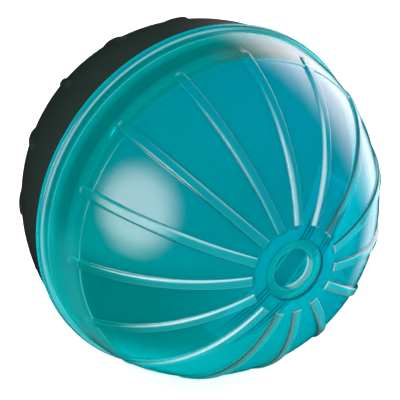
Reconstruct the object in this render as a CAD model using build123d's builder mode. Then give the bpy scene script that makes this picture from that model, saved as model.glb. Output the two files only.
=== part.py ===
from build123d import *
import os
from math import cos, radians, sin, sqrt

# A hamster ball in two moulded halves, a clear one and a dark one, that push together.
# The ball's axis lies along Y: the clear half's pole is at -Y and the dark half's at +Y.
# The origin is the centre of the ball, on the parting plane, and lengths are in millimetres.

# The domes
dome_radius = 89.5
dome_wall = 2.0
pole_hole_radius = 15.5

# The clear half's thicker collar, and the flange round its mouth
collar_step = 0.5
collar_height = 31.0
flange_lip = 2.0
flange_height = 3.5
flange_edge_share = 0.6
flange_root_share = 0.25

# The ribs that run down each dome like meridians, and a little way over the collar's edge
rib_count = 15
rib_width = 4.8
rib_height = 1.3
rib_root = 1.0
rib_inner_end = 22.8
rib_lap = 2.7
rib_tip_share = 0.42
rib_edge_share = 0.4

# The dark half's spigot, which pushes into the clear half's collar
closure_clearance = 0.3
spigot_inset = 0.2
spigot_height = 7.5
spigot_wall = 1.7
spigot_lead = 0.6
rim_taper_depth = 9.0

# The hub that sits inside each pole: a boss with a finger well, on a flange behind the dome
seat_clearance = 0.25
hub_fit = 0.2
hub_flange_lap = 4.0
hub_flange_wall = 1.6
boss_rise = 0.6
boss_skirt = 0.8
boss_edge_share = 0.7
well_radius = 10.5
well_depth = 3.5
well_ledge = 1.1
bar_width = 13.0

# The bridge, a tray that crosses behind the hub and follows the dome's inside
bridge_angle = 48.0
bridge_reach = 47.0
bridge_web = 1.5
bridge_floor_wall = 1.8

# How far a cutting shape runs past what it cuts
overrun = 5.0

# Sizes that follow from those above
dome_inside = dome_radius - dome_wall
collar_radius = dome_radius + collar_step
flange_radius = collar_radius + flange_lip
flange_top = closure_clearance + flange_height
span = flange_radius + overrun
rib_pitch = 360 / rib_count
rib_outer_end = sqrt(dome_radius**2 - (collar_height - rib_lap) ** 2)
spigot_radius = dome_inside - spigot_inset
spigot_inside = spigot_radius - spigot_wall
socket_radius = spigot_radius + closure_clearance
socket_depth = spigot_height + closure_clearance
wall_middle = dome_radius - dome_wall / 2
taper_radius = sqrt(wall_middle**2 - rim_taper_depth**2)
seat_radius = dome_inside - seat_clearance
boss_radius = pole_hole_radius - hub_fit
hub_flange_radius = pole_hole_radius + hub_flange_lap
hub_flange_back = sqrt(seat_radius**2 - hub_flange_radius**2) - hub_flange_wall
hub_face = sqrt(seat_radius**2 - boss_radius**2) + boss_rise
bridge_top = hub_face - boss_rise / 2
vent_radius = well_radius - well_ledge
bridge_floor = hub_face - well_depth
bridge_base = bridge_floor - bridge_floor_wall
bridge_width = bar_width + 2 * bridge_web
boss_base = bridge_base - boss_skirt

# The bridge's own directions, square to the ball's axis
bridge_direction = (cos(radians(bridge_angle)), 0, sin(radians(bridge_angle)))
bridge_normal = (-sin(radians(bridge_angle)), 0, cos(radians(bridge_angle)))
bridge_plane = Plane(origin=(0, 0, 0), x_dir=bridge_direction, z_dir=bridge_normal)
hub_plane = Plane(origin=(0, -hub_face, 0), x_dir=bridge_direction, z_dir=(0, -1, 0))

os.makedirs("parts", exist_ok=True)

# One rib of the clear dome, on the -X side: blunt towards the pole and rounded towards the rim
with BuildPart() as rib:
    with BuildSketch(Plane.XY):
        Circle(dome_radius + rib_height)
        Circle(dome_radius - rib_root, mode=Mode.SUBTRACT)
        with Locations((-rib_inner_end, 0)):
            Rectangle(
                rib_outer_end - rib_inner_end,
                span,
                align=(Align.MAX, Align.MAX),
                mode=Mode.INTERSECT,
            )
    extrude(amount=rib_width / 2, both=True)
    fillet(rib.edges().filter_by(Axis.Y).sort_by(Axis.X)[:2], rib_width * rib_tip_share)
    crown = rib.faces().filter_by(GeomType.CYLINDER).sort_by(SortBy.RADIUS)[-1]
    chamfer(crown.edges(), rib_height * rib_edge_share)

# The clear half: dome, collar and flange in one section, with the ribs round it
with BuildPart() as clear_half:
    with BuildSketch(Plane.XY) as clear_section:
        Circle(collar_radius)
        with Locations((0, -collar_height)):
            Rectangle(2 * span, span, align=(Align.CENTER, Align.MAX), mode=Mode.SUBTRACT)
        Circle(dome_radius)
        Rectangle(2 * flange_radius, flange_top, align=(Align.CENTER, Align.MAX))
        Circle(dome_inside, mode=Mode.SUBTRACT)
        Rectangle(2 * socket_radius, socket_depth, align=(Align.CENTER, Align.MAX), mode=Mode.SUBTRACT)
        Rectangle(2 * pole_hole_radius, span, align=(Align.CENTER, Align.MAX), mode=Mode.SUBTRACT)
        with Locations((0, -closure_clearance)):
            Rectangle(span, span, align=(Align.MIN, Align.MAX), mode=Mode.INTERSECT)
        flange_edge = clear_section.vertices().sort_by_distance((flange_radius, -flange_top))[0]
        fillet(flange_edge, flange_lip * flange_edge_share)
        flange_root = clear_section.vertices().sort_by_distance((collar_radius, -flange_top))[0]
        fillet(flange_root, flange_lip * flange_root_share)
    revolve(axis=Axis.Y)
    for number in range(rib_count):
        add(rib.part, rotation=(0, number * rib_pitch, 0))

# The dark half: the same ribbed dome, with a rim that tapers in to carry the spigot
dark_rib = mirror(rib.part, about=Plane.XZ)
with BuildPart() as dark_half:
    with BuildSketch(Plane.XY):
        Circle(dome_radius)
        Circle(dome_inside, mode=Mode.SUBTRACT)
        Rectangle(span, span, align=(Align.MIN, Align.MIN), mode=Mode.INTERSECT)
        Rectangle(2 * pole_hole_radius, span, align=(Align.CENTER, Align.MIN), mode=Mode.SUBTRACT)
        with BuildLine():
            Polyline(
                (wall_middle, 0),
                (spigot_radius, 0),
                (spigot_radius, spigot_lead - spigot_height),
                (spigot_radius - spigot_lead, -spigot_height),
                (spigot_inside, -spigot_height),
                (spigot_inside, 0),
                (taper_radius, rim_taper_depth),
                close=True,
            )
        make_face()
    revolve(axis=Axis.Y)
    for number in range(rib_count):
        add(dark_rib, rotation=(0, number * rib_pitch, 0))

# The clear half's hub. Its tray and flange come first, cut to the sphere that they seat against.
with BuildPart() as clear_hub:
    with BuildSketch(bridge_plane):
        Circle(span)
        Circle(bridge_base, mode=Mode.SUBTRACT)
        Rectangle(2 * bridge_reach, bridge_top, align=(Align.CENTER, Align.MAX), mode=Mode.INTERSECT)
    extrude(amount=bridge_width / 2, both=True)
    with BuildSketch(bridge_plane):
        Circle(span)
        Circle(bridge_floor, mode=Mode.SUBTRACT)
        Rectangle(
            2 * (bridge_reach - bridge_web),
            span,
            align=(Align.CENTER, Align.MAX),
            mode=Mode.INTERSECT,
        )
    extrude(amount=bar_width / 2, both=True, mode=Mode.SUBTRACT)
    with BuildSketch(hub_plane.offset(hub_flange_back - hub_face)):
        Circle(hub_flange_radius)
    extrude(amount=bridge_top - hub_flange_back)
    Sphere(seat_radius, mode=Mode.INTERSECT)

    # The boss, which shows in the pole's hole
    with BuildSketch(Plane.XY) as boss_section:
        with Locations((0, -hub_face)):
            Rectangle(boss_radius, hub_face - boss_base, align=(Align.MIN, Align.MIN))
        boss_edge = boss_section.vertices().sort_by_distance((boss_radius, -hub_face))[0]
        fillet(boss_edge, boss_rise * boss_edge_share)
    revolve(axis=Axis.Y)

    # The well, and the air vents on each side of the bar across its floor
    with BuildSketch(hub_plane):
        Circle(well_radius)
    extrude(amount=-well_depth, mode=Mode.SUBTRACT)
    with BuildSketch(hub_plane):
        Circle(vent_radius)
        Rectangle(2 * well_radius, bar_width, mode=Mode.SUBTRACT)
    extrude(amount=boss_base - hub_face - overrun, mode=Mode.SUBTRACT)

# The dark half's hub is the same piece, turned to face the other way
with BuildPart() as dark_hub:
    mirror(clear_hub.part, about=Plane.XZ)

clear_half.part.label = "clear_half"
dark_half.part.label = "dark_half"
clear_hub.part.label = "clear_hub"
dark_hub.part.label = "dark_hub"

export_step(clear_half.part, "parts/clear_half.step")
export_step(dark_half.part, "parts/dark_half.step")
export_step(clear_hub.part, "parts/clear_hub.step")
export_step(dark_hub.part, "parts/dark_hub.step")
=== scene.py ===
# %% [markdown]
# # A hamster ball in two halves
# The ball is an exercise toy for a small pet: a clear teal half shell pushes onto a near-black one,
# and each half has a vented hub in its pole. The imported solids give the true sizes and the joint.
# Here the shells and hubs are modelled again with rounded edges, and every piece gets its finish.

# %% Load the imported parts
import bmesh
import bpy
from functools import cached_property
from math import asin, cos, pi, radians, sin, sqrt
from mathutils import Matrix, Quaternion, Vector


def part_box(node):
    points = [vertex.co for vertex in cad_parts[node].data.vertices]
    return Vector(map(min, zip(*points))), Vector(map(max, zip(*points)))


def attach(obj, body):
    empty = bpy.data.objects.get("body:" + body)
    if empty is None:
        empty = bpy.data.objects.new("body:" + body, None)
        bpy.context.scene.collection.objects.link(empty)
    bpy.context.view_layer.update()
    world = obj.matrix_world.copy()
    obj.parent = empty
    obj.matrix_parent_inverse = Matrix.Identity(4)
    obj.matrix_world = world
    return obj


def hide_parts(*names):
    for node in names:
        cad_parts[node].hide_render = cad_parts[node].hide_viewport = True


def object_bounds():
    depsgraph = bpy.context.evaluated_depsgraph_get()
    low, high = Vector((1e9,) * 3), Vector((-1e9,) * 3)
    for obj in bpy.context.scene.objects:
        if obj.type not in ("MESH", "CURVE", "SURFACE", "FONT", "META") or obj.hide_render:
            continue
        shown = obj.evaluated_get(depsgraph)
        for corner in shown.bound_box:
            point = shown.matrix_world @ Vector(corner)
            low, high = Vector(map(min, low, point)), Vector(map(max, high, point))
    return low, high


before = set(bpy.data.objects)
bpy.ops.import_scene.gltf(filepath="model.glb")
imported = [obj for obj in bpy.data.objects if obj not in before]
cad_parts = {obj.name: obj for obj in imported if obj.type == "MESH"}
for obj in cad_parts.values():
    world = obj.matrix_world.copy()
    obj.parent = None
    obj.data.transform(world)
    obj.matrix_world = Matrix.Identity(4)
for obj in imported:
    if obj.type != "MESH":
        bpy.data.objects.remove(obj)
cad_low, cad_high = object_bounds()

scene = bpy.context.scene


def linked(name, data):
    """A new object in the scene."""
    made = bpy.data.objects.new(name, data)
    scene.collection.objects.link(made)
    return made


print("nodes", sorted(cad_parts), "from", tuple(cad_low), "to", tuple(cad_high))

# %% [markdown]
# ## Sizes
# The new pieces have to lie where the solids lie, so the solids' few driving sizes are repeated
# here in metres. What the frame can give is read from it, such as the flange, the widest thing on
# the clear half. Sizes that only one piece needs stand where it is made.


# %% Driving sizes of the shells
def leg(radius, other):
    """How far out a sphere is at a height, or how high it is at a distance from the axis."""
    return sqrt(radius**2 - other**2)


MM = 0.001
dome_radius = 89.5 * MM
dome_wall = 2.0 * MM
dome_inside = dome_radius - dome_wall
pole_hole_radius = 15.5 * MM
collar_radius = dome_radius + 0.5 * MM
collar_height = 31.0 * MM
closure_gap = 0.3 * MM
flange_radius = -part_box("clear_half")[0].x
flange_top = closure_gap + 3.5 * MM
rib_count = 15
rib_width = 4.8 * MM
rib_height = 1.3 * MM
rib_lap = 2.7 * MM
rib_inner_end = 22.8 * MM
rib_outer_end = leg(dome_radius, collar_height - rib_lap)
rib_tip_radius = 0.42 * rib_width
print(f"dome {dome_radius / MM:.1f} mm, flange {flange_radius / MM:.1f} mm, {rib_count} ribs")

# %% Driving sizes of the bridge behind a hub
bar_half = 6.5 * MM
tray_web = 1.5 * MM
tray_half = bar_half + tray_web
tray_reach = 47.0 * MM
bridge_angle = radians(48.0)
along_bridge = Vector((cos(bridge_angle), 0, sin(bridge_angle)))
across_bridge = Vector((-sin(bridge_angle), 0, cos(bridge_angle)))
print(f"tray {2 * tray_half / MM:.0f} mm wide, {tray_reach / MM:.0f} mm to each side")

# %% [markdown]
# ## Writing node trees as sums
# Both the shells and the finishes are node trees. Wiring them by hand hides the arithmetic, so one
# small class stands for a node's output. Adding or multiplying two of them adds a Math node, and
# one method makes any other node: its settings go first, because they can change its sockets.


# %% A wire between nodes
def operator(operation):
    """The two methods of an operator: with the wire on its left, and on its right."""

    def wire_first(self, other):
        return self.math(operation, self, other)

    def wire_second(self, other):
        return self.math(operation, other, self)

    return wire_first, wire_second


class Wire:
    """One output of a node. Arithmetic on it adds Math nodes to the same tree."""

    def __init__(self, tree, socket):
        self.tree = tree
        self.socket = socket

    @staticmethod
    def node(tree, kind, settings=None, sockets=None, output=0):
        node = tree.nodes.new(kind)
        for name, value in (settings or {}).items():
            setattr(node, name, value)
        for name, value in (sockets or {}).items():
            if isinstance(value, Wire):
                tree.links.new(value.socket, node.inputs[name])
            else:
                node.inputs[name].default_value = value
        return Wire(tree, node.outputs[output] if node.outputs else None)

    def math(self, operation, *values):
        sockets = dict(enumerate(values))
        return Wire.node(self.tree, "ShaderNodeMath", {"operation": operation}, sockets)

    __add__, __radd__ = operator("ADD")
    __sub__, __rsub__ = operator("SUBTRACT")
    __mul__, __rmul__ = operator("MULTIPLY")
    __truediv__, __rtruediv__ = operator("DIVIDE")

    def of(self, operation):
        """A function of this number alone, such as its sine."""
        return self.math(operation, self)

    def root(self):
        return self.of("SQRT")

    def size(self):
        return self.of("ABSOLUTE")

    def smallest(self, other):
        return self.math("MINIMUM", self, other)

    def largest(self, other):
        return self.math("MAXIMUM", self, other)

    def share(self):
        """The number, kept between 0 and 1."""
        return self.largest(0.0).smallest(1.0)

    def climb(self, start, stop):
        """A straight climb from 0 to 1 while the number goes from start to stop."""
        return ((self - start) / (stop - start)).share()

    def ease(self, start, stop):
        """The same climb with soft ends."""
        settings = {"interpolation_type": "SMOOTHSTEP"}
        sockets = {"Value": self, "From Min": start, "From Max": stop}
        return Wire.node(self.tree, "ShaderNodeMapRange", settings, sockets)

    def beside(self, line, start, stop):
        """A soft climb between two places, in millimetres from a line."""
        return self.ease(line + start * MM, line + stop * MM)

    def between(self, start, full, fading, stop):
        """Eases in from start to full, and out again from fading to stop."""
        return self.ease(start, full) * self.ease(stop, fading)

    def parts(self):
        """The three numbers of a vector."""
        split = Wire.node(self.tree, "ShaderNodeSeparateXYZ", sockets={0: self})
        return [Wire(self.tree, socket) for socket in split.socket.node.outputs]


print("wires ready")

# %% [markdown]
# ## The ribbed shell
# Each half is a turned section with raised ribs round it. A lathe and fifteen joined bars would
# leave seams, which a clear plastic shows. Instead a grid is bent into the shell: its rows follow
# the section, its columns go round the axis, and the columns crowd together and lift at the ribs.
# The section and the rib's profile are two small lists of points, which the tree reads by number.

# %% Inputs of the ribbed shell
shell_tree = bpy.data.node_groups.new("ribbed_shell", "GeometryNodeTree")
shell_inputs = {
    "Section": "Geometry",
    "Rib Profile": "Object",
    "Rib Count": "Int",
    "Rib Width": "Float",
    "Rib Crown Radius": "Float",
    "Rib Outer End": "Float",
    "Rib Tip Radius": "Float",
    "Facing": "Float",
    "Finish": "Material",
}
for name, kind in shell_inputs.items():
    shell_tree.interface.new_socket(name, in_out="INPUT", socket_type="NodeSocket" + kind)
shell_tree.interface.new_socket("Shell", in_out="OUTPUT", socket_type="NodeSocketGeometry")
shell_entry = shell_tree.nodes.new("NodeGroupInput")
given = {name: Wire(shell_tree, shell_entry.outputs[name]) for name in shell_inputs}
print("ribbed shell inputs:", ", ".join(shell_inputs))


# %% Reading the two lists of points
def shell_node(kind, sockets=None, settings=None, output=0):
    return Wire.node(shell_tree, "GeometryNode" + kind, settings, sockets, output)


def point_count(geometry):
    return shell_node("AttributeDomainSize", {"Geometry": geometry}, {"component": "MESH"})


def point_at(geometry, number):
    settings = {"data_type": "FLOAT_VECTOR", "domain": "POINT"}
    sockets = {"Geometry": geometry, "Value": shell_node("InputPosition"), "Index": number}
    return shell_node("SampleIndex", sockets, settings).parts()


half_step = 0.5  # keeps a whole number from being rounded down to the one before it
section = given["Section"]
profile = shell_node("ObjectInfo", {"Object": given["Rib Profile"]}, output="Geometry")
section_count = point_count(section)
profile_count = point_count(profile)
columns = given["Rib Count"] * profile_count + 1
sheet = shell_node("MeshGrid", {"Vertices X": section_count + 1, "Vertices Y": columns})
number = shell_node("InputIndex")
row = ((number + half_step) / columns).of("FLOOR")
column = number - row * columns
sector = ((column + half_step) / profile_count).of("FLOOR")
rho, axial, ribbed = point_at(section, row.math("MODULO", row, section_count))
across, lift, line = point_at(profile, column - sector * profile_count)
print("rows follow the section, columns the axis")

# %% Bending the grid into a shell
reach = (rho * rho + axial * axial).root()
pitch = 2 * pi / given["Rib Count"]
tip = given["Rib Tip Radius"]
run = (given["Rib Outer End"] - rho).largest(0.0).smallest(tip)
half_width = given["Rib Width"] / 2 - tip + (tip * tip - (tip - run) * (tip - run)).root()
rib_edge = half_width / rho
on_rib = rib_edge * across.size().smallest(1.0)
past_rib = (across.size() - 1.0).largest(0.0)
turn = on_rib.of("ARCSINE") + past_rib * (pitch / 2 - rib_edge.of("ARCSINE"))
side = across.of("SIGN")
rib_azimuth = sector * pitch + pi
azimuth = rib_azimuth + turn * side

crown = given["Rib Crown Radius"].smallest(given["Rib Outer End"] * reach / rho)
room = (crown - reach).largest(0.0) * ribbed
rise = room * lift
grown = (reach + rise) / reach
bent_place = {
    "X": rho * grown * azimuth.of("COSINE"),
    "Y": axial * grown * given["Facing"],
    "Z": rho * grown * azimuth.of("SINE"),
}
place = Wire.node(shell_tree, "ShaderNodeCombineXYZ", sockets=bent_place)
print("points have reach, turn and rise")

# %% [markdown]
# ## Light along the ribs
# A clear rib gathers light like a lens. The side that faces the light carries a pale streak, which
# starts in from the rim and swells towards the pole. The top ribs carry a long wedge, and the ribs
# on the shaded side a dull streak. Tracing such light would take very long, so the tree stores
# where it falls on the shell's points, for the finish to read. The streaks turn with the shell, and
# don't follow the camera.


# %% Which side of a rib faces the light
def towards(x, z, direction):
    """How far a place lies in a direction square to the ball's axis."""
    return x * direction.x + z * direction.z


lit_from = Vector((-0.46, 0.0, 0.89))
shaded_side = Vector((0.81, 0.0, -0.58))
wedge_side = Vector((0.39, 0.0, 0.92))
shade_start, shade_full = -0.15, 0.12
rib_x, rib_z = rib_azimuth.of("COSINE"), rib_azimuth.of("SINE")
side_x, side_z = rib_z * side * -1.0, rib_x * side
lit_side = towards(side_x, side_z, lit_from).largest(0.0)
shaded_rib = towards(rib_x, rib_z, shaded_side).climb(shade_start, shade_full)
wedge_rib = towards(rib_x, rib_z, wedge_side).climb(0.8, 0.92)
upper_rib = rib_z.climb(0.2, 0.6)
bright_side = lit_side * (1.0 - shaded_rib)
streak_side = lit_side + ((side_x * -1.0).largest(0.0) - lit_side) * shaded_rib
print("streaks face", tuple(round(x, 2) for x in lit_from))

# %% How wide a streak is
thin_streak = 0.14
lens_swell = 1.1
wedge_swell = 0.75
dull_streak = 0.15
dull_swell = 0.35
inwards = ((given["Rib Outer End"] - rho) / (rib_outer_end - rib_inner_end)).share()
lens_width = inwards * (1.0 - inwards) * lens_swell
dull_width = shaded_rib * (1.0 - wedge_rib) * (dull_streak + inwards * dull_swell)
wedge_width = (inwards * wedge_swell - lens_width) * wedge_rib
streak_width = thin_streak + lens_width + wedge_width + dull_width
streak_inside = (across.size() + streak_width).climb(0.95, 1.07)
streak_outside = across.size().climb(1.0, 0.96)
print(f"streaks cover {thin_streak:.2f} of a rib's side and more")

# %% Streaks, lines and glints
uneven_start = 0.06
uneven_turn = 2.4
shoulder_fade = 0.7
foot_fade = 0.85
glint_narrowness = 1.3
uneven = uneven_start + (sector * uneven_turn).of("SINE") * uneven_start
streak_start = (inwards - uneven).climb(0.05, 0.35)
streak = streak_side * streak_start * streak_inside * streak_outside * room / rib_height
shoulder_line = line.largest(0.0) * (1.0 - upper_rib * (1.0 - bright_side) * shoulder_fade)
foot_line = line.smallest(0.0) * (1.0 - bright_side * foot_fade)
tip_share = room / ((given["Rib Crown Radius"] - reach).largest(0.0) * ribbed)
on_tip = (1.0 - across * across * glint_narrowness).largest(0.0)
glint = tip_share * (1.0 - tip_share) * 4.0 * on_tip
marks = {
    "crest": rise / rib_height,
    "edge_line": (shoulder_line + foot_line) * room / rib_height,
    "streak": streak,
    "glint": glint,
}
print("marks on the shell's points:", ", ".join(marks))

# %% Closing the shell
merge_distance = 0.002 * MM
shape = shell_node("SetPosition", {"Geometry": sheet, "Position": place})
for name, value in marks.items():
    sockets = {"Geometry": shape, "Name": name, "Value": value}
    settings = {"data_type": "FLOAT", "domain": "POINT"}
    shape = shell_node("StoreNamedAttribute", sockets, settings)
shape = shell_node("MergeByDistance", {"Geometry": shape, "Distance": merge_distance})
shape = shell_node("SetShadeSmooth", {"Geometry": shape})
shape = shell_node("RealizeInstances", {"Geometry": shape})
shape = shell_node("SetMaterial", {"Geometry": shape, "Material": given["Finish"]})
Wire.node(shell_tree, "NodeGroupOutput", sockets={"Shell": shape})
print("ribbed shell tree:", len(shell_tree.nodes), "nodes")

# %% [markdown]
# ## The ribs' profiles
# A moulded rib has a small fillet at its foot, steep sides, rounded shoulders and a flat crown. One
# side of it is written down. The first number is how far across a column lies, where 1 is the foot
# and 2 is halfway to the next rib, and the second how far it lifts. The third marks the shoulder,
# which shines, and the side and foot, where clear plastic bends the view into a dark line. The dark
# half's ribs are lower, rounder and plain.

# %% Points across one rib
between_ribs = [(across_share, 0.0, 0.0) for across_share in (1.20, 1.40, 1.60, 1.80)]
clear_rib_side = [
    (0.0, 1.0, 0.0),
    (0.45, 1.0, 0.0),
    (0.62, 0.99, 0.0),
    (0.72, 0.97, 0.6),
    (0.82, 0.91, 1.0),
    (0.89, 0.82, 0.8),
    (0.935, 0.66, 0.0),
    (0.96, 0.45, -0.8),
    (0.98, 0.22, -1.0),
    (1.0, 0.05, -1.0),
    (1.04, 0.0, -0.6),
    (1.10, 0.0, 0.0),
    *between_ribs,
]
dark_lifts = [(0.0, 0.86), (0.25, 0.84), (0.45, 0.78), (0.62, 0.68), (0.76, 0.53)]
dark_lifts += [(0.87, 0.35), (0.95, 0.17), (1.0, 0.06), (1.05, 0.0)]
dark_rib_side = [(across_share, lifted, 0.0) for across_share, lifted in dark_lifts] + between_ribs


def point_list(name, points):
    """An object that only holds points, for a tree to read by number."""
    mesh = bpy.data.meshes.new(name)
    mesh.from_pydata(points, [], [])
    return bpy.data.objects.new(name, mesh)


def both_sides(side):
    """A rib's profile from one side's points and their mirror image."""
    return [(-across_share, *rest) for across_share, *rest in reversed(side[1:])] + side


clear_ribs = point_list("clear_rib_profile", both_sides(clear_rib_side))
dark_ribs = point_list("dark_rib_profile", both_sides(dark_rib_side))
print("rib profiles:", len(clear_ribs.data.vertices), "and", len(dark_ribs.data.vertices), "points")

# %% [markdown]
# ## Sections of the two halves
# A section is a closed loop of points: distance from the axis, height above the parting plane, and
# whether ribs may rise there. The spherical runs are arcs about the ball's centre. Every corner
# gets a small rounding, which is what catches the light on moulded plastic.


# %% Drawing a section
def dome_arc(radius, start_rho, stop_rho, step=radians(2.0)):
    """Points of a dome's circle, from one distance from the axis to another."""
    start, stop = asin(start_rho / radius), asin(min(stop_rho / radius, 1.0))
    count = max(2, round(abs(stop - start) / step))
    angles = [start + (stop - start) * place / count for place in range(count + 1)]
    return [Vector((radius * sin(angle), radius * cos(angle))) for angle in angles]


def straights(start, *corners):
    """Straight runs from a start through corners, each given with the rounding at its end."""
    runs = []
    for *corner, rounding in corners:
        runs.append(([Vector(start), Vector(corner)], rounding))
        start = corner
    return runs


def soften(before, corner, after, radius, steps=4):
    """A corner as a short curve that starts and ends at the radius from it."""
    start = corner + (before - corner).normalized() * radius
    stop = corner + (after - corner).normalized() * radius
    shares = [step / steps for step in range(steps + 1)]
    return [start.lerp(corner, t).lerp(corner.lerp(stop, t), t) for t in shares]


def closed_loop(runs):
    """Joins runs of points and softens the corner where each run meets the next."""
    loop = []
    for place, (points, radius) in enumerate(runs):
        after = runs[(place + 1) % len(runs)][0]
        loop += points[1:-1]
        loop += soften(points[-2], points[-1], after[1], radius)
    return loop


print("section helpers ready")

# %% Outside of both domes
edge = 0.35 * MM
near_pole_step = radians(1.5)
rib_tip_step = radians(0.3)
rib_tip_zone = 1.6 * rib_tip_radius
rib_start_rows = [rib_inner_end + row_mm * MM for row_mm in (0.06, 0.15, 0.3, 0.5, 1.0)]


def outer_dome(stop_rho):
    """The outside of a dome from its pole's hole, with close rows at the ribs' two ends."""
    tip_start = rib_outer_end - rib_tip_zone
    near_pole = dome_arc(dome_radius, pole_hole_radius, rib_inner_end, near_pole_step)
    rib_start = [Vector((row_rho, leg(dome_radius, row_rho))) for row_rho in rib_start_rows[:-1]]
    middle = dome_arc(dome_radius, rib_start_rows[-1], tip_start)
    rib_tip = dome_arc(dome_radius, tip_start, stop_rho, rib_tip_step)
    return near_pole + rib_start + middle + rib_tip[1:]


hole_bottom = Vector((pole_hole_radius, leg(dome_inside, pole_hole_radius)))
hole_top = Vector((pole_hole_radius, leg(dome_radius, pole_hole_radius)))
hole_wall = [hole_bottom, hole_top]
print("outer dome rows:", len(outer_dome(rib_outer_end)))

# %% [markdown]
# ## The clear half
# Its dome steps out to a thicker collar, and the collar ends in a rounded flange at the parting
# plane. The ribs run on over the step and end on the collar in small round tips, so the rows are
# close there. Inside the mouth is the socket for the dark half's spigot.

# %% Section of the clear half
clear_tip_height = 23.4 * MM
clear_tip_radius = 1.3 * MM
collar_tip_step = radians(0.25)
step_root_rounding = 0.12 * MM
step_edge_rounding = 0.18 * MM
flange_root_rounding = 0.5 * MM
flange_edge_rounding = 1.4 * MM
socket_rounding = 0.1 * MM
socket_radius = dome_inside + 0.1 * MM
socket_top = 7.8 * MM
step_inner = leg(dome_radius, collar_height)
step_outer = leg(collar_radius, collar_height)
collar_foot = leg(collar_radius, flange_top)
socket_end = leg(dome_inside, socket_top)
clear_rib_end = leg(collar_radius, clear_tip_height)
collar_tips = dome_arc(collar_radius, step_outer, clear_rib_end, collar_tip_step)
collar_rest = dome_arc(collar_radius, clear_rib_end, collar_foot)
clear_runs = [
    (outer_dome(step_inner), step_root_rounding),
    *straights((step_inner, collar_height), (step_outer, collar_height, step_edge_rounding)),
    (collar_tips + collar_rest[1:], flange_root_rounding),
    *straights(
        (collar_foot, flange_top),
        (flange_radius, flange_top, flange_edge_rounding),
        (flange_radius, closure_gap, edge),
        (socket_radius, closure_gap, edge),
        (socket_radius, socket_top, socket_rounding),
        (socket_end, socket_top, socket_rounding),
    ),
    (dome_arc(dome_inside, socket_end, pole_hole_radius), edge),
    (hole_wall, edge),
]
clear_loop = closed_loop(clear_runs)
print("clear section:", len(clear_loop), "points")

# %% [markdown]
# ## The dark half
# The same dome runs down to the parting plane. Its rim tapers inwards to carry the spigot, a thin
# ring that reaches into the clear half and shows through it as a dark band.

# %% Section of the dark half
spigot_radius = dome_inside - 0.2 * MM
spigot_inside = spigot_radius - 1.7 * MM
spigot_end = -7.5 * MM
spigot_lead = 0.6 * MM
spigot_root_rounding = 0.2 * MM
taper_top = 6.198 * MM
taper_rho = leg(dome_inside, taper_top)
dome_foot = dome_radius * sin(radians(89.9))
dark_runs = [
    (outer_dome(dome_foot), edge),
    *straights(
        (dome_radius, 0.0),
        (spigot_radius, 0.0, spigot_root_rounding),
        (spigot_radius, spigot_end, spigot_lead),
        (spigot_inside, spigot_end, edge),
        (spigot_inside, 0.0, edge),
        (taper_rho, taper_top, edge),
    ),
    (dome_arc(dome_inside, taper_rho, pole_hole_radius), edge),
    (hole_wall, edge),
]
dark_loop = closed_loop(dark_runs)
print("dark section:", len(dark_loop), "points")

# %% [markdown]
# ## From a section to a shell
# A section becomes an object of bare points, and the tree on it makes the shell. The result is
# taken over as a plain mesh, because the export keeps no live tree, and its faces are turned
# outwards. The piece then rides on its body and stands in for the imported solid.

# %% Handing a piece over
rib_end_slope = 0.5 * MM


def section_points(loop):
    """The loop as the tree reads it. Ribs rise outside only, from a steep blunt end."""
    middle = (dome_radius + dome_inside) / 2
    points = []
    for point in loop:
        share = max(0.0, min(1.0, (point.x - rib_inner_end) / rib_end_slope))
        rib_share = sqrt(1 - (1 - share) ** 2) if point.length > middle else 0.0
        points.append((point.x, point.y, rib_share))
    return points


def set_inputs(modifier, values):
    """Sets a tree's inputs by the identifiers of their sockets."""
    for item in modifier.node_group.interface.items_tree:
        if item.item_type == "SOCKET" and item.in_out == "INPUT" and item.name in values:
            modifier[item.identifier] = values[item.name]


def made_mesh(draft):
    """The plain mesh that an object's modifiers make."""
    evaluated = draft.evaluated_get(bpy.context.evaluated_depsgraph_get())
    return bpy.data.meshes.new_from_object(evaluated)


def hand_over(name, node, mesh, body):
    """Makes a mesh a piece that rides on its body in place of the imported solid."""
    mesh.name = name
    piece = linked(name, mesh)
    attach(piece, body)
    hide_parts(node)
    mesh.calc_loop_triangles()
    work = bmesh.new()
    work.from_mesh(mesh)
    open_edges = sum(1 for e in work.edges if not e.is_manifold)
    work.free()
    print(name, "has", len(mesh.loop_triangles), "triangles and", open_edges, "open edges")


def make_shell(name, node, loop, inputs, body, slot):
    draft = point_list(name + "_section", section_points(loop))
    scene.collection.objects.link(draft)
    modifier = draft.modifiers.new("shell", "NODES")
    modifier.node_group = shell_tree
    crown_radius = dome_radius + rib_height
    sizes = {"Rib Count": rib_count, "Rib Width": rib_width, "Rib Crown Radius": crown_radius}
    set_inputs(modifier, sizes | inputs)
    mesh = made_mesh(draft)
    draft.modifiers.remove(modifier)
    bpy.data.objects.remove(draft)
    work = bmesh.new()
    work.from_mesh(mesh)
    bmesh.ops.recalc_face_normals(work, faces=work.faces)
    work.to_mesh(mesh)
    work.free()
    hand_over(name, node, mesh, body)


print("ribs start", rib_inner_end / MM, "mm from the axis")

# %% [markdown]
# ## Clear teal plastic
# The clear half is tinted polystyrene: partly see-through, partly milky, and very glossy. Pure
# glass would show only the black inside of the far half, while the real plastic glows teal of its
# own. So the shader both passes and scatters light, and a weak painted glow stands for highlights
# and for the light that gathers in edges. Faint flow marks keep the gloss from looking too perfect.


# %% A clear finish
def new_finish(name):
    """A bare material, and the coordinates of its piece."""
    finish = bpy.data.materials.new(name)
    finish.use_nodes = True
    tree = finish.node_tree
    tree.nodes.clear()
    return finish, Wire.node(tree, "ShaderNodeTexCoord", output="Object")


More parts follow.
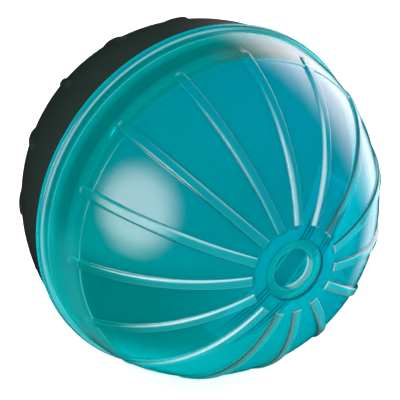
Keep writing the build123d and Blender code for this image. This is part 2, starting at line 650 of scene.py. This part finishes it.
def cover(under, colour, mask, strength=1.0):
    """A colour with another laid over it where the mask is 1."""
    factor = mask if strength == 1.0 else mask * strength
    below, above = (c if isinstance(c, Wire) else (*c, 1.0) for c in (under, colour))
    sockets = {0: factor, 6: below, 7: above}
    return Wire.node(mask.tree, "ShaderNodeMix", {"data_type": "RGBA"}, sockets, output=2)


def noise(place, scale, detail=3.0):
    sockets = {"Vector": place, "Scale": scale, "Detail": detail}
    return Wire.node(place.tree, "ShaderNodeTexNoise", sockets=sockets)


def bump(height, strength, distance):
    sockets = {"Strength": strength, "Distance": distance, "Height": height}
    return Wire.node(height.tree, "ShaderNodeBump", sockets=sockets)


def attribute(tree, name):
    return Wire.node(tree, "ShaderNodeAttribute", {"attribute_name": name}, output="Fac")


def finish_surface(tree, sockets):
    shader = Wire.node(tree, "ShaderNodeBsdfPrincipled", sockets=sockets)
    Wire.node(tree, "ShaderNodeOutputMaterial", sockets={"Surface": shader})


def clear_plastic(name, colours):
    """Clear tinted plastic. The rule gives its tint, with painted light and shade, and the painted
    glow of its edges.
    """
    finish, place = new_finish(name)
    clouds = noise(place, 14.0)
    flow = noise(place, 30.0, 2.0)
    tint, glow = colours(place, clouds)
    surface = {
        "Base Color": tint,
        "Roughness": 0.01 + flow * 0.02,
        "IOR": 1.49,
        "Transmission Weight": 0.75,
        "Emission Color": glow,
        "Emission Strength": 0.4,
        "Normal": bump(flow, 0.02, 0.2 * MM),
    }
    finish_surface(place.tree, surface)
    finish.cycles.emission_sampling = "NONE"
    print(name, "has", len(place.tree.nodes), "nodes")
    return finish


# %% [markdown]
# ### Where a point lies
# The tint, with its painted light and shade, changes over the ball, so the finish works out where
# each point lies, from the piece's own coordinates and never from the camera. One small class gives
# the measures and regions that several layers share, and wires each when it is first asked for.


# %% Measures and regions of the ball
class Spot:
    """Where a point lies: right and up in radii of the dome, height from the parting plane."""

    def __init__(self, place):
        self.tree = place.tree
        self.x, self.axial, self.z = place.parts()

    right = cached_property(lambda at: at.x / dome_radius)
    up = cached_property(lambda at: at.z / dome_radius)
    height = cached_property(lambda at: at.axial * -1.0)
    from_axis = cached_property(lambda at: (at.x * at.x + at.z * at.z).root())
    off_bridge = cached_property(lambda at: towards(at.x, at.z, across_bridge))
    off_bar = cached_property(lambda at: at.off_bridge.size())
    far_right = cached_property(lambda at: at.right.ease(0.35, 0.65))
    low_part = cached_property(lambda at: at.up.between(0.25, -0.15, -0.3, -0.65))

    shaded_turn = cached_property(lambda at: towards(at.x, at.z, shaded_side) / at.from_axis)
    shaded = cached_property(lambda at: at.shaded_turn.ease(shade_start, shade_full))
    on_dome = cached_property(lambda at: (at.from_axis / rib_outer_end).ease(0.98, 0.72))
    rib_fade = cached_property(lambda at: 0.08 + at.on_dome * 0.92)


print("measures ready")

# %% [markdown]
# ### Tint of the dome
# The dome is painted greener at the lower left and bluer at the upper right, as painted light:
# there more of the bright room shows through it. A darker teal is painted over the far right and
# the lower right. Slow clouds keep the change from looking too even.

# %% Tint of the dome
green_teal = (0.0, 0.60, 0.56)
blue_teal = (0.0, 0.61, 0.83)
right_teal = (0.0, 0.50, 0.61)


def dome_tint(at, clouds):
    # painted light: greener at the lower left, bluer towards the bright upper right
    painted_lighting = 0.45 + at.right * 0.45 + at.up * 0.3 + clouds * 0.2
    low_right = at.right.ease(0.05, 0.35) * at.up.ease(0.4, 0.15)
    tint = cover(green_teal, blue_teal, painted_lighting)
    # painted darker teal over the far right and the lower right
    return cover(tint, right_teal, at.far_right.largest(low_right))


print("dome goes from", green_teal, "to", blue_teal)

# %% [markdown]
# ### Bands of the collar
# The collar is thick and has the spigot and the far rim behind it. Rings of darker and lighter teal
# are painted on it: painted shade where the dark parts lie behind, and painted highlights in the
# bright line at the socket's end and in the light ring. A colour ramp over the height gives them,
# from the flange to the step. Greyer patches on the rings are painted reflections of the dark half,
# and the lower left is painted brighter, as painted light.

# %% Rings of the collar
band_top = 32 * MM
band_gain = 1.06
# painted shade and painted highlights, ring by ring over the collar's height
collar_rings = {
    "flange": [(0.0, 0.60)],
    "spigot": [(2.0, 0.36), (4.0, 0.38), (5.5, 0.46), (7.8, 0.58)],
    "socket end": [(8.6, 0.80), (9.2, 0.80)],
    "plain wall": [(10.0, 0.60), (13.0, 0.57)],
    "dark ring": [(14.6, 0.42), (20.8, 0.41)],
    "light ring": [(22.2, 0.56), (26.6, 0.60)],
    "shade by the step": [(27.6, 0.52), (28.6, 0.52)],
    "step": [(29.4, 0.57)],
}
ring_levels = [level for ring in collar_rings.values() for level in ring]
ring_stops = [
    (height * MM / band_top, (0.0, teal * band_gain, teal * band_gain, 1.0))
    for height, teal in ring_levels
]
print("collar rings:", ", ".join(collar_rings))

# %% Tint of the collar
# painted light: a brighter teal for the lower part of the collar
low_band_teal = (0.02, 0.85, 0.85)
# painted reflection of the dark half, as greyer patches on the collar
painted_reflection_teal = (0.17, 0.24, 0.19)


def ring_ramp(level):
    ramp = Wire.node(level.tree, "ShaderNodeValToRGB", sockets={"Fac": level})
    elements = ramp.socket.node.color_ramp.elements
    while len(elements) < len(ring_stops):
        elements.new(1.0)
    for element, (place, colour) in zip(elements, ring_stops):
        element.position = place
        element.color = colour
    return ramp


def collar_tint(at, clouds, dome):
    tint = ring_ramp(at.height / band_top)
    # painted light: the lower part of the collar brighter
    tint = cover(tint, low_band_teal, at.low_part, strength=0.6)
    # painted reflection of the dark half on the upper rings, at the top and the lower left
    top = at.x.between(-12 * MM, 8 * MM, 30 * MM, 50 * MM) * at.up.ease(0.0, 0.2)
    low = at.x.ease(-40 * MM, -60 * MM) * at.low_part * (0.4 + clouds * 0.5)
    upper_rings = at.height.between(17 * MM, 22 * MM, 27.5 * MM, 29.5 * MM)
    tint = cover(tint, painted_reflection_teal, upper_rings * (top * 0.5 + low * 0.4))
    # painted reflection of the dark half at the lower left corner
    corner = at.right.ease(-0.6, -0.75) * at.up.ease(-0.42, -0.55)
    corner = corner * at.height.between(9 * MM, 14 * MM, 27.5 * MM, 29.5 * MM)
    tint = cover(tint, painted_reflection_teal, corner, strength=0.35)
    return cover(tint, dome, at.height.beside(band_top, -3, 0))


print("collar ends", band_top / MM, "mm above the parting plane")

# %% [markdown]
# ### What shows through the dome
# The hub's tray lies close behind the dome, and fine dark lines along its webs are painted on the
# dome as its shade. The dome is painted darker above the bridge and at the lower left, as painted
# shade, and brighter near the floor, as painted light that the floor throws up into it. The wall of
# the pole's hole is seen edge on, so it is painted darker too.

# %% Painted shade and light in the dome
# painted shade and painted light of the dome, and the tray's painted shade
painted_shade_teal = (0.0, 0.36, 0.46)
painted_shade_green = (0.0, 0.22, 0.21)
floor_lit_teal = (0.0, 0.92, 1.0)
tray_shade = (0.0, 0.17, 0.23)
hole_shade_teal = (0.0, 0.32, 0.40)
web_line_pitch = 2.1 * MM


def tray_lines(at):
    """Painted shade of the tray: fine lines beside the bar, fading out towards the tray's two ends.
    """
    along_bar = towards(at.x, at.z, along_bridge).size()
    over_tray = at.off_bar.beside(tray_half, 1.0, 0.8)
    over_tray = over_tray * along_bar.ease(tray_reach, 0.6 * tray_reach)
    wave = (at.off_bar - bar_half) * (2 * pi / web_line_pitch)
    over_web = wave.of("COSINE").ease(0.2, 0.7) * at.off_bar.ease(3.6 * MM, 4.0 * MM)
    return over_tray * (0.1 + over_web * 0.75)


def painted_shade_and_light(at, tint):
    # painted shade above the bridge and at the lower left, painted light near the floor
    above_bridge = at.off_bridge.ease(-0.6 * tray_half, tray_half)
    above_bridge = above_bridge * at.from_axis.ease(0.85 * dome_radius, 0.4 * dome_radius)
    tint = cover(tint, painted_shade_teal, above_bridge, strength=0.3)
    low_left = at.right.ease(-0.2, -0.75) * at.up.between(0.15, -0.08, -0.3, -0.6)
    tint = cover(tint, painted_shade_green, low_left, strength=0.5)
    near_floor = at.right.ease(-0.1, -0.5) * at.up.ease(-0.42, -0.58)
    near_floor = near_floor * at.height.beside(collar_height, 0, 3)
    tint = cover(tint, floor_lit_teal, near_floor, strength=0.45)
    tint = cover(tint, tray_shade, tray_lines(at))
    in_hole = at.from_axis.beside(pole_hole_radius, 0.6, 0.1)
    return cover(tint, hole_shade_teal, in_hole)


print(f"tray lines {web_line_pitch / MM:.1f} mm apart")

# %% [markdown]
# ### Tint of the ribs
# The marks that the tree stored come in here, as painted light and shade. Crests are painted paler,
# sides and feet darker as painted shade, shoulders bright as painted highlights, and each streak, a
# painted highlight, has its own tint, which is a dull olive painted shade on the shaded side.

# %% Tint of the ribs
# painted light and shade of the ribs
crown_teal = (0.04, 0.86, 0.92)
side_teal = (0.02, 0.17, 0.16)
shoulder_teal = (0.10, 0.80, 0.85)
streak_teal = (0.45, 0.90, 0.92)
shaded_teal = (0.11, 0.20, 0.15)


def rib_tint(at, mark, tint):
    upper = (at.z / at.from_axis).ease(0.2, 0.7)
    tint = cover(tint, crown_teal, mark["crest"] * at.rib_fade * (0.55 - upper * 0.35))
    side_share = at.far_right * 0.35 - 0.7 - at.shaded * 0.25
    tint = cover(tint, side_teal, mark["edge_line"].smallest(0.0) * at.rib_fade * side_share)
    tint = cover(tint, shoulder_teal, mark["shoulder"], strength=0.3)
    streak_tint = cover(streak_teal, shaded_teal, at.shaded)
    return cover(tint, streak_tint, mark["streak"], strength=0.8)


print("rib tints ready")

# %% [markdown]
# ### Light in the edges
# A painted glow stands for highlights and for light that enters a clear moulding, runs inside it
# and comes out at its edges. It is painted at the flange's lip, along the socket's end and the
# collar's step, in the ribs' streaks, at both ends of every rib, and over the lower part of the
# collar.

# %% Glow of the clear half
# colours of the painted glow: painted highlights and edge light
no_light = (0.0, 0.0, 0.0)
low_band_light = (0.0, 0.20, 0.21)
shoulder_light = (0.16, 0.48, 0.52)
streak_light = (0.78, 0.80, 0.86)
shaded_light = (0.10, 0.11, 0.10)
glint_light = (0.22, 0.52, 0.56)
lip_light = (0.0, 0.20, 0.27)
lip_root_light = (0.48, 0.85, 1.0)


def edge_glow(at, mark):
    step = at.height.beside(collar_height, -0.7, -0.2) * at.height.beside(collar_height, 0.5, 0)
    socket_line = at.height.between(8.3 * MM, 8.7 * MM, 9.2 * MM, 9.7 * MM)
    lines = mark["shoulder"] * 0.3 + step * at.low_part * 0.48 + socket_line * 0.4
    on_collar = at.height.beside(collar_height, 0, -4)
    glow = cover(no_light, low_band_light, at.low_part * on_collar)
    glow = cover(glow, shoulder_light, lines.smallest(1.0))
    glow = cover(glow, cover(streak_light, shaded_light, at.shaded), mark["streak"])
    top_right = at.right.ease(0.05, 0.35) * at.up.ease(0.2, 0.5)
    glow = cover(glow, streak_light, step * top_right, strength=0.8)
    glow = cover(glow, glint_light, mark["glint"], strength=0.6)
    rib_start = mark["crest"] * at.from_axis.beside(rib_inner_end, 0.9, 0.4)
    glow = cover(glow, streak_light, rib_start * (0.2 + at.shaded * 0.45))
    lip = at.from_axis.beside(collar_radius, -0.05, 0.1)
    outer_lip = at.from_axis.beside(collar_radius, 0.95, 1.3)
    lip_share = 0.35 + at.up.ease(-0.7, 0.0) * 0.65 - top_right * 0.6
    return cover(glow, cover(lip_root_light, lip_light, outer_lip), lip * lip_share)


def shell_colours(place, clouds):
    at = Spot(place)
    mark = {name: attribute(at.tree, name) for name in marks}
    mark["shoulder"] = mark["edge_line"].largest(0.0) * at.rib_fade
    tint = collar_tint(at, clouds, dome_tint(at, clouds))
    tint = rib_tint(at, mark, painted_shade_and_light(at, tint))
    return tint, edge_glow(at, mark)


clear_finish = clear_plastic("clear_teal_plastic", shell_colours)

# %% [markdown]
# ## Black plastic
# The dark half is opaque and satin. Its mould was lightly textured, so a fine grain breaks up the
# gloss, and handling has rubbed the crests of its ribs a little smoother and greyer.

# %% Finish of the dark half
soot = (0.011, 0.025, 0.019)
charcoal = (0.015, 0.035, 0.027)
rubbed = (0.024, 0.043, 0.035)
black_finish, place = new_finish("black_plastic")
clouds = noise(place, 20.0)
grain = noise(place, 1400.0, 2.0)
crest = attribute(place.tree, "crest")
tint = cover(soot, charcoal, clouds)
black_surface = {
    "Base Color": cover(tint, rubbed, crest * clouds, strength=0.8),
    "Roughness": 0.40 - crest * 0.08 + clouds * 0.08,
    "IOR": 1.5,
    "Specular IOR Level": 0.35,
    "Normal": bump(grain, 0.12, 0.1 * MM),
}
finish_surface(place.tree, black_surface)
print("black plastic:", len(place.tree.nodes), "nodes")

# %% The two shells
clear_inputs = {
    "Rib Profile": clear_ribs,
    "Rib Outer End": clear_rib_end,
    "Rib Tip Radius": clear_tip_radius,
    "Facing": -1.0,
    "Finish": clear_finish,
}
dark_inputs = {
    "Rib Profile": dark_ribs,
    "Rib Outer End": rib_outer_end,
    "Rib Tip Radius": rib_tip_radius,
    "Facing": 1.0,
    "Finish": black_finish,
}
clear_place = ("clear_shell", "clear_teal_plastic")
dark_place = ("dark_shell", "black_plastic")
make_shell("clear_half_shell", "clear_half", clear_loop, clear_inputs, *clear_place)
make_shell("dark_half_shell", "dark_half", dark_loop, dark_inputs, *dark_place)

# %% [markdown]
# ## The hubs
# Each hub is one moulding: a round boss with a finger well, a thin flange that seats behind the
# dome, and a tray that crosses behind both. The boss is a rounded section spun about the ball's
# axis. Each arm of the tray is a loft of a channel section that follows the inside of the dome.
# Booleans join them and cut the two air vents beside the bar.

# %% Sizes of a hub
seat_radius = dome_inside - 0.25 * MM
boss_radius = pole_hole_radius - 0.2 * MM
hub_face = -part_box("clear_hub")[0].y
boss_shoulder = leg(seat_radius, boss_radius)
hub_flange_radius = pole_hole_radius + 4.0 * MM
hub_flange_top = leg(seat_radius, hub_flange_radius)
hub_flange_back = hub_flange_top - 1.6 * MM
well_radius = 10.5 * MM
well_floor = hub_face - 3.5 * MM
vent_radius = 9.4 * MM
tray_base = well_floor - 1.8 * MM
boss_base = tray_base - 0.8 * MM
tray_start = 12.0 * MM
print(f"hub face {hub_face / MM:.2f} mm from the middle, well {2 * well_radius / MM:.0f} mm wide")

# %% The boss of a hub
boss_edge = 0.4 * MM
boss_corners = [
    (0.0, well_floor, 0.0),
    (well_radius, well_floor, boss_edge),
    (well_radius, hub_face, 0.6 * MM),
    (boss_radius, hub_face, 0.45 * MM),
    (boss_radius, boss_shoulder, 0.1 * MM),
    (hub_flange_radius, hub_flange_top, boss_edge),
    (hub_flange_radius, hub_flange_back, boss_edge),
    (boss_radius, hub_flange_back, boss_edge),
    (boss_radius, boss_base, boss_edge),
    (0.0, boss_base, 0.0),
]


def rounded_path(corners):
    """A path through corners, each given with the radius that rounds it."""
    points = [Vector(corner) for *corner, radius in corners]
    radii = [radius for *corner, radius in corners]
    path = points[:1]
    for before, corner, after, radius in zip(points, points[1:], points[2:], radii[1:]):
        path += soften(before, corner, after, radius)
    return path + points[-1:]


def spun(path, facing, steps=144):
    """A closed solid from a path that starts and ends on the ball's axis."""
    work = bmesh.new()
    points = [work.verts.new((p.x, facing * p.y, 0.0)) for p in path]
    edges = [work.edges.new(pair) for pair in zip(points, points[1:])]
    turn = {"axis": (0, 1, 0), "cent": (0, 0, 0), "angle": 2 * pi, "steps": steps}
    bmesh.ops.spin(work, geom=points + edges, **turn)
    bmesh.ops.remove_doubles(work, verts=work.verts, dist=merge_distance)
    return work


boss_path = rounded_path(boss_corners)
print("boss section:", len(boss_path), "points")

# %% Where the rings of an arm lie
arm_edge = 0.45 * MM
arm_steps = 24
wall_start = tray_reach - tray_web - arm_edge
arm_run = wall_start - tray_start
even_places = [tray_start + arm_run * step / arm_steps for step in range(arm_steps + 1)]
wall_places = [wall_start + arm_edge * share for share in (0.25, 0.5, 0.75, 1.0)]
end_places = [tray_reach - arm_edge * share for share in (1.0, 0.6, 0.3, 0.1, 0.0)]
arm_places = even_places + wall_places + end_places
print("each arm has", len(arm_places), "rings")

# %% The arms of the tray
filled_gap = 0.02 * MM
widest_rounding = 0.45


def channel(along):
    """Corners of the channel at one place along an arm. The end wall fills it."""
    filled = max(0.0, min(1.0, (along - wall_start) / arm_edge))
    top_outer = sqrt(seat_radius**2 - along**2 - tray_half**2)
    top_inner = sqrt(seat_radius**2 - along**2 - bar_half**2)
    floor_level = leg(well_floor, along)
    floor_level += (top_inner - filled_gap - floor_level) * filled
    outside = [(tray_half, leg(tray_base, along)), (tray_half, top_outer)]
    return outside + [(bar_half, top_inner), (bar_half, floor_level)]


def arm_section(along):
    """The rounded channel, as points across and out from the ball's middle."""
    one_side = channel(along)
    corners = [Vector(c) for c in one_side] + [Vector((-x, y)) for x, y in reversed(one_side)]
    loop = []
    for place, corner in enumerate(corners):
        before, after = corners[place - 1], corners[(place + 1) % len(corners)]
        room = min((before - corner).length, (after - corner).length)
        loop += soften(before, corner, after, min(arm_edge, widest_rounding * room))
    base, top = one_side[0][1], one_side[1][1]
    past = max(0.0, along - (tray_reach - arm_edge))
    inset = arm_edge - sqrt(max(0.0, arm_edge**2 - past**2))
    middle = Vector((0.0, (base + top) / 2))
    shrink = Vector((1 - inset / tray_half, 1 - 2 * inset / (top - base)))
    return [middle + (p - middle) * shrink for p in loop]


def lofted(rings):
    """A closed solid from rings of points."""
    work = bmesh.new()
    loops = [[work.verts.new(point) for point in ring] for ring in rings]
    for loop, following in zip(loops, loops[1:]):
        for place in range(len(loop)):
            skin = (loop[place - 1], loop[place], following[place], following[place - 1])
            work.faces.new(skin)
    work.faces.new(loops[0])
    work.faces.new(loops[-1])
    return work


def on_bridge(along, aside, out):
    """A place in the bridge's own directions."""
    return along_bridge * along + across_bridge * aside + Vector((0, out, 0))


def arm(side, facing):
    """One arm of the tray as a closed solid."""
    rings = [
        [on_bridge(side * along, p.x, facing * p.y) for p in arm_section(along)]
        for along in arm_places
    ]
    return lofted(rings)


print("the tray's arms start", tray_start / MM, "mm from the axis")

# %% Vents and joining
vent_overrun = 1 * MM
sharp_edge = radians(35.0)


def vent(side, facing, steps=24):
    """The solid that cuts one vent: a slice of a disc beside the bar."""
    first = asin(bar_half / vent_radius)
    angles = [first + (pi - 2 * first) * step / steps for step in range(steps + 1)]
    outline = [(vent_radius * cos(a), side * vent_radius * sin(a)) for a in angles]
    levels = (boss_base - vent_overrun, well_floor + vent_overrun)
    return lofted([[on_bridge(*spot, facing * level) for spot in outline] for level in levels])


def as_object(name, work):
    """A linked object from a finished bmesh, with its faces outwards."""
    bmesh.ops.recalc_face_normals(work, faces=work.faces)
    mesh = bpy.data.meshes.new(name)
    work.to_mesh(mesh)
    work.free()
    return linked(name, mesh)


def make_hub(name, node, facing, finish, body, slot):
    boss = as_object(name + "_boss", spun(boss_path, facing))
    tools = [("UNION", as_object(name + "_arm", arm(side, facing))) for side in (1, -1)]
    tools += [("DIFFERENCE", as_object(name + "_vent", vent(side, facing))) for side in (1, -1)]
    for operation, tool in tools:
        step = boss.modifiers.new(operation.lower(), "BOOLEAN")
        step.operation = operation
        step.solver = "EXACT"
        step.object = tool
    mesh = made_mesh(boss)
    for used in [boss] + [tool for operation, tool in tools]:
        bpy.data.objects.remove(used)
    mesh.materials.clear()
    mesh.materials.append(finish)
    mesh.shade_smooth()
    mesh.set_sharp_from_angle(angle=sharp_edge)
    hand_over(name, node, mesh, body)


print("vents reach", vent_radius / MM, "mm from the axis")

# %% [markdown]
# ### The hubs' finish
# The hub is the same clear plastic as the dome. Its ring is thin and bright, and the bar across the
# well is painted darker as shade, because there the tray lies behind it; dark lines over the ring
# carry on the bar's edges as painted shade. The far wall of the well carries a pale sickle, a
# painted highlight where it catches the light. The tray's webs are painted dark as shade, with a
# painted bright rim, and the rims of the boss and the well and the tray carry a faint painted glow.

# %% Tint of the clear hub
ring_teal = (0.0, 0.70, 0.72)
ring_bright_teal = (0.0, 0.78, 0.82)
# painted shade: the bar and the webs darker, and dark lines over the ring
bar_teal = (0.0, 0.48, 0.58)
web_teal = (0.0, 0.12, 0.15)


def hub_tint(at, clouds, ring, tray, web):
    ring_tint = cover(ring_teal, ring_bright_teal, clouds)
    bar_tint = cover(bar_teal, ring_tint, at.off_bar.beside(bar_half, -1.7, -1.5))
    bar_line = (at.off_bar - bar_half - 0.3 * MM).size().ease(0.6 * MM, 0.3 * MM)
    ring_tint = cover(ring_tint, bar_teal, bar_line, strength=0.6)
    over_bar = at.off_bar.beside(bar_half, 0.3, 0)
    ring_tint = cover(ring_tint, bar_teal, over_bar, strength=0.35)
    tint = cover(bar_tint, ring_tint, ring)
    tint = cover(tint, bar_teal, tray)
    return cover(tint, web_teal, tray * web)


print("hub tints ready")

# %% Glow of the clear hub
# painted glow: highlights on the rims, the webs and the well's far wall, and faint light on the
# tray
tray_light = (0.0, 0.12, 0.15)
web_edge_light = (0.05, 0.4, 0.5)


def hub_glow(at, ring, tray, web):
    boss_rim = at.from_axis.beside(boss_radius, -0.9, -0.3) * (1.0 - tray)
    well_rim = ring * (1.0 - at.from_axis.beside(well_radius, 0.4, 0.9))
    glow = cover(no_light, shoulder_light, boss_rim + well_rim, strength=0.12)
    glow = cover(glow, tray_light, tray * (1.0 - web))
    glow = cover(glow, web_edge_light, tray * at.off_bar.beside(tray_half, -0.5, -0.2))
    well_wall = at.from_axis.beside(well_radius, -0.4, -0.2) * (1.0 - ring)
    far_wall = (at.off_bridge / at.from_axis).ease(-0.5, -0.7)
    return cover(glow, streak_light, well_wall * far_wall)


def hub_colours(place, clouds):
    at = Spot(place)
    ring = at.from_axis.beside(well_radius, -0.1, 0.1)
    tray = at.from_axis.beside(boss_radius, 0, 0.2)
    web = at.off_bar.beside(bar_half, -0.2, 0.1)
    return hub_tint(at, clouds, ring, tray, web), hub_glow(at, ring, tray, web)


hub_finish = clear_plastic("clear_teal_hub", hub_colours)

# %% The two hubs
make_hub("clear_hub_moulding", "clear_hub", -1.0, hub_finish, *clear_place)
make_hub("dark_hub_moulding", "dark_hub", 1.0, black_finish, *dark_place)

# %% [markdown]
# ## Camera
# The ball was seen from a little above and from the left of the clear half's pole, from far away
# with a long lens, so its outline is almost a perfect circle.

# %% Place the camera
view_azimuth = radians(-30.3)
view_elevation = radians(26.9)
camera_distance = 12 * dome_radius
level_reach = cos(view_elevation)
back = Vector(
    (sin(view_azimuth) * level_reach, -cos(view_azimuth) * level_reach, sin(view_elevation))
)
camera_data = bpy.data.cameras.new("camera")
camera_data.lens = 193.0
camera_data.sensor_width = 36.0
camera_data.shift_x = -0.001
camera_data.shift_y = -0.0068
camera = linked("camera", camera_data)
camera.location = back * camera_distance
camera.rotation_euler = back.to_track_quat("Z", "Y").to_euler()
scene.camera = camera
print("camera at", tuple(round(x, 3) for x in camera.location))

# %% [markdown]
# ## Stage
# The floor is a plain pale sheet that touches the ball's flange. It is large enough to fill the
# frame, and glows a little, so that it stays white beside the ball. The plastic doesn't mirror it.

# %% Floor
floor_half = 4.0
floor_z = cad_low.z
floor_sides = (-floor_half, floor_half)
floor_corners = [(x, y, floor_z) for y in floor_sides for x in floor_sides]
floor_mesh = bpy.data.meshes.new("floor")
floor_mesh.from_pydata(floor_corners, [], [(0, 1, 3, 2)])
floor = linked("floor", floor_mesh)

pale_grey = (0.90, 0.90, 0.90)
paler_grey = (0.94, 0.94, 0.94)
floor_finish, place = new_finish("pale_floor")
floor_surface = {
    "Base Color": cover(pale_grey, paler_grey, noise(place, 6.0)),
    "Roughness": 0.9,
    "Specular IOR Level": 0.0,
    "Emission Color": (1.0, 1.0, 1.0, 1.0),
    "Emission Strength": 0.66,
}
finish_surface(place.tree, floor_surface)
floor_finish.cycles.emission_sampling = "NONE"
floor_mesh.materials.append(floor_finish)
floor.visible_glossy = False
floor.visible_shadow = False
print("floor at", round(floor_z, 4))

# %% [markdown]
# ## Light
# A wide ceiling and a fill light everything and aren't mirrored. Four lights are only seen in the
# gloss: a round softbox, whose mirror image is the pale disc on the clear half, an oval window,
# which whitens the ball's right edge, and two weak lights behind. Each is placed by the direction
# that it is seen in from the camera: right, up and near.


# %% How a light is made
def soft_light(name, direction, distance, width, height, radiance, shape="RECTANGLE", roll=0.0):
    """An area light that faces the ball, with its strength given as radiance."""
    light = bpy.data.lights.new(name, "AREA")
    light.shape = shape
    light.size = width
    light.size_y = height
    area = width * height * (1 if shape == "RECTANGLE" else pi / 4)
    light.energy = radiance * pi * area
    lamp = linked(name, light)
    outwards = Vector(direction).normalized()
    lamp.location = outwards * distance
    facing = outwards.to_track_quat("Z", "Y") @ Quaternion((0, 0, 1), radians(roll))
    lamp.rotation_euler = facing.to_euler()
    lamp.visible_transmission = False
    print(name, "at", tuple(round(x, 2) for x in lamp.location))
    return lamp


def only_mirrored(lamp, fading):
    """Keeps a round light to the gloss, and fades it towards its edge."""
    lamp.visible_diffuse = False
    lamp.data.use_nodes = True
    tree = lamp.data.node_tree
    tree.nodes.clear()
    spread = Wire.node(tree, "ShaderNodeNewGeometry", output="Parametric").parts()
    across, along = ((number - 0.5) * 2 for number in spread[:2])
    off_middle = (across * across + along * along).root()
    strength = {"Strength": off_middle.ease(1.0, 1.0 - fading)}
    emission = Wire.node(tree, "ShaderNodeEmission", sockets=strength)
    Wire.node(tree, "ShaderNodeOutputLight", sockets={"Surface": emission})


def seen(right, up, near):
    """A direction as it is seen from the camera."""
    return camera.rotation_euler.to_matrix() @ Vector((right, up, near))


# %% Lights
ceiling = soft_light("ceiling", (0, 0, 1), 1.8, 3.0, 3.0, 0.45)
fill = soft_light("fill", seen(0.45, -0.05, 0.9), 1.6, 2.0, 2.0, 1.15)
for lamp in (ceiling, fill):
    lamp.visible_glossy = False
softbox = soft_light("softbox", seen(-0.62, -0.12, 0.775), 1.0, 1.2, 1.2, 8.8, "DISK")
softbox.data.color = (1.0, 0.92, 0.98)
window = soft_light("window", seen(0.62, 0.52, -0.608), 1.2, 1.65, 1.95, 4.2, "ELLIPSE", -45.0)
window.data.color = (1.0, 0.81, 0.88)
back_top = soft_light("back_top", seen(0.25, 0.82, -0.51), 1.2, 0.7, 0.7, 0.4, "DISK")
back_right = soft_light("back_right", seen(0.63, -0.04, -0.775), 1.2, 0.85, 0.85, 1.8, "DISK")
for lamp, fading in ((softbox, 0.65), (window, 0.8), (back_top, 0.9), (back_right, 0.8)):
    only_mirrored(lamp, fading)

# %% The room round the ball
world = bpy.data.worlds.new("studio")
world.use_nodes = True
background = world.node_tree.nodes["Background"].inputs
background["Color"].default_value = (1.0, 1.0, 1.0, 1.0)
background["Strength"].default_value = 1.0
world.cycles_visibility.glossy = False
scene.world = world
scene.view_settings.view_transform = "Standard"
print("a white room, which isn't mirrored")
